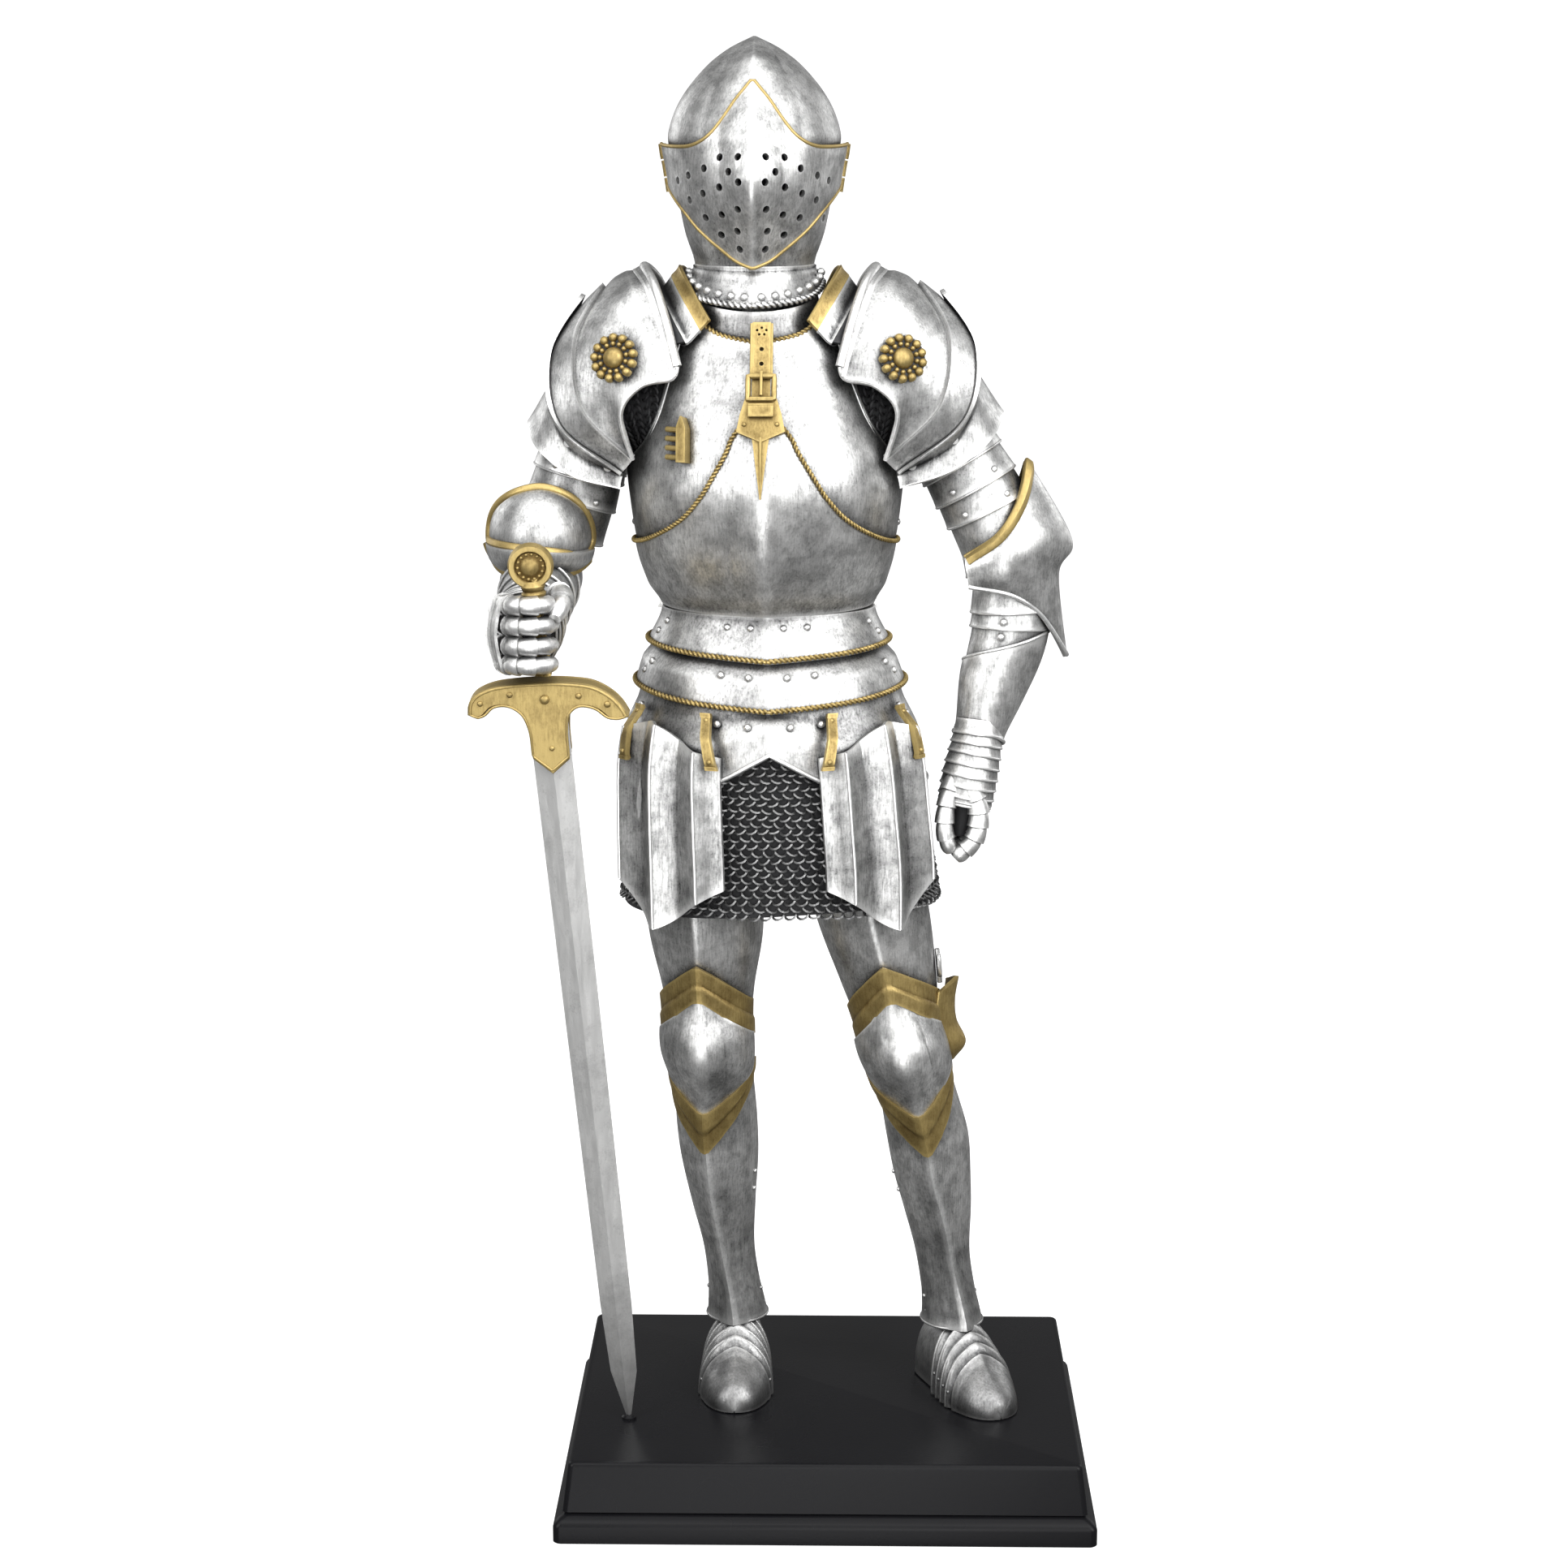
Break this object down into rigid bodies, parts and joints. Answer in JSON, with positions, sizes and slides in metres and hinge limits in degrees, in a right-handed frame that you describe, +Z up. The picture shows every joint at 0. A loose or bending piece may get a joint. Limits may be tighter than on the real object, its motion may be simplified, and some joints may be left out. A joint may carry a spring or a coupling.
{
  "type": "suit of plate armour on a plinth",
  "caption": "Empty suit of plate armour standing on a stepped plinth with one hand on its sword: visored helmet, mail skirt, gilt knees and straps.",
  "frame": {"origin": "middle of the plinth's flat underside, where it rests", "axes": "+Z up, -Y to the suit's front, +X to the suit's left"},
  "size_m": [0.1383, 0.099, 0.3305],
  "materials": {
    "plate": "antiqued silver, brushed on raised forms and dark in the recesses",
    "gilding": "worn antique gold",
    "mail": "blackened mail with bright ring edges",
    "plinth": "satin black"
  },
  "bodies": {
    "root": {"plinth_moulding": "plinth", "plinth_block": "plinth", "helmet_skull": "plate", "helmet_visor": "plate", "helmet_bevor": "plate", "helmet_collar": "plate", "visor_hinge_right": "gilding", "visor_hinge_left": "gilding", "breastplate": "plate", "backplate": "plate", "plackart": "plate", "gorget": "plate", "chest_strap": "gilding", "lance_rest": "gilding", "pauldron_right": "plate", "pauldron_lame_right": "plate", "pauldron_lip_right": "plate", "collar_right": "plate", "pauldron_left": "plate", "pauldron_lame_left": "plate", "pauldron_lip_left": "plate", "collar_left": "plate", "rosette_right": "gilding", "rosette_left": "gilding", "rerebrace_right": "plate", "rerebrace_left": "plate", "mail_sleeve_right": "mail", "mail_sleeve_left": "mail", "couter_right": "plate", "couter_left": "plate", "vambrace_right": "plate", "vambrace_left": "plate", "gauntlet_right": "plate", "gauntlet_left": "plate", "sword_blade": "plate", "sword_guard": "gilding", "sword_hilt": "gilding", "fauld_lame_1": "plate", "fauld_lame_2": "plate", "fauld_lame_3": "plate", "mail_skirt": "mail", "tasset_right": "plate", "tasset_strap_front_right": "gilding", "tasset_strap_side_right": "gilding", "tasset_left": "plate", "tasset_strap_front_left": "gilding", "tasset_strap_side_left": "gilding", "cuisse_right": "plate", "poleyn_right": "plate", "poleyn_upper_right": "gilding", "poleyn_lower_right": "gilding", "greave_right": "plate", "cuisse_left": "plate", "poleyn_left": "plate", "poleyn_upper_left": "gilding", "poleyn_lower_left": "gilding", "greave_left": "plate", "poleyn_wing_left": "gilding", "sabaton_right": "plate", "sabaton_left": "plate"}
  },
  "joints": []
}
